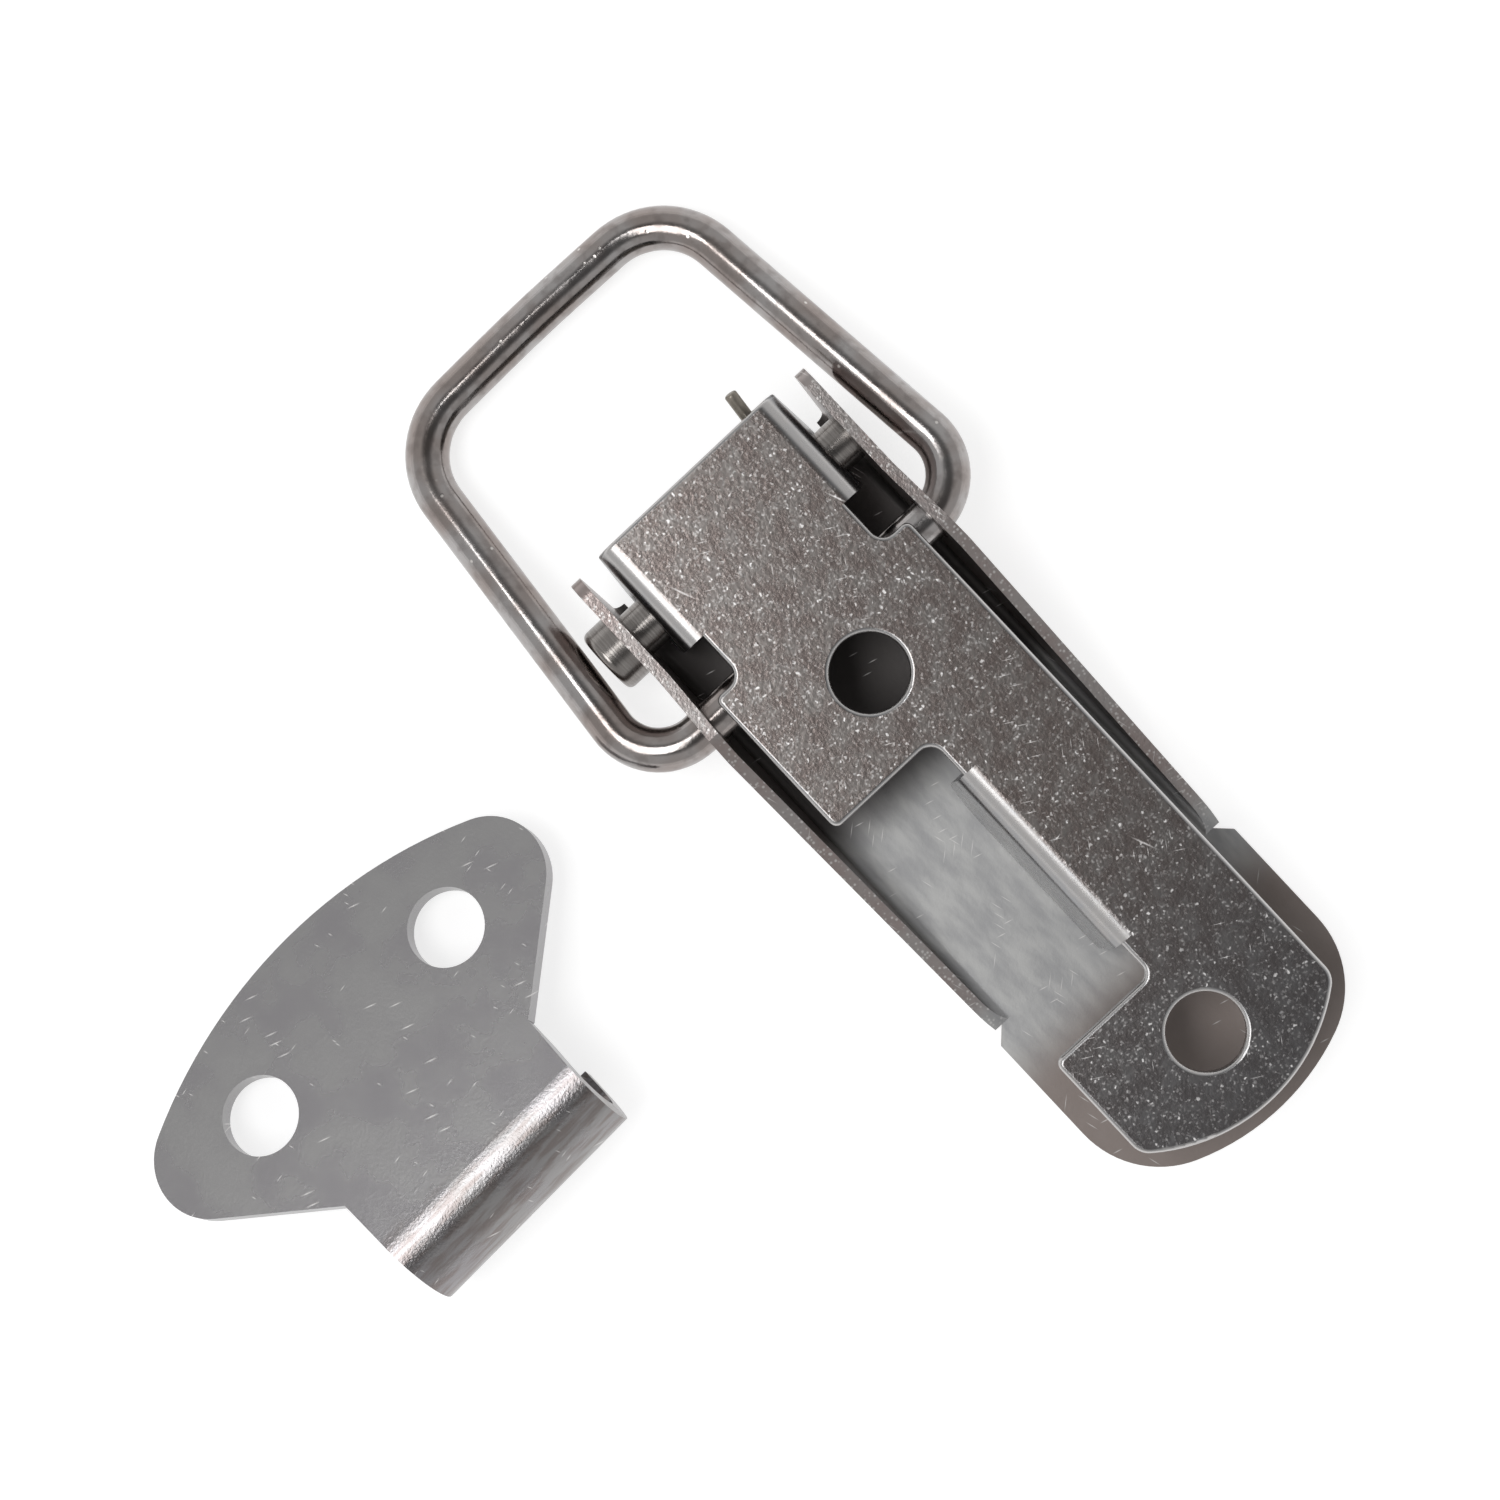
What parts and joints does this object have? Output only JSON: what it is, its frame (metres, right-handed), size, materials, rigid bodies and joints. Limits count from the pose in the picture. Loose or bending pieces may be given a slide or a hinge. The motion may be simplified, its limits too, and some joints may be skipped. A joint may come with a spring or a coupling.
{
  "type": "over centre toggle latch",
  "caption": "Pressed steel over centre toggle latch: a folded base plate hinges in a channel lever that carries a wire bail, with a separate hooked catch plate beside it.",
  "frame": {"origin": "midway between the two screw holes, on the mounting face of the base plate", "axes": "+Z out of the mounting face, +X along the latch towards the tip of the lever, +Y across it, away from the catch plate"},
  "size_m": [0.0747, 0.0739, 0.0098],
  "materials": {
    "plated_sheet": "bright nickel plating over a fine blast speckle",
    "rivet_steel": "bright plated, smooth",
    "plated_wire": "drawn wire, bright plated",
    "spring_wire": "plain spring steel",
    "plated_catch": "satin nickel plating with short fine scratches"
  },
  "bodies": {
    "lever": {"lever": "plated_sheet", "pivot_rivet": "rivet_steel", "catch_plate": "plated_catch"},
    "base": {"base_plate": "plated_sheet", "lever_spring": "spring_wire"},
    "bail": {"wire_bail": "plated_wire"}
  },
  "joints": [
    {"name": "lever_pivot", "type": "hinge", "parent": "lever", "child": "base", "pos_m": [-0.02845, 0, -0.0054], "axis": [0, -1, 0], "range_deg": [0, 115], "stiffness_Nm_per_rad": 0.042, "springref_deg": -28.65, "deforming": ["lever_spring"]},
    {"name": "bail_pivot", "type": "hinge", "parent": "lever", "child": "bail", "pos_m": [-0.02075, 0, -0.0034], "axis": [0, 1, 0], "range_deg": [-150, 175]}
  ]
}
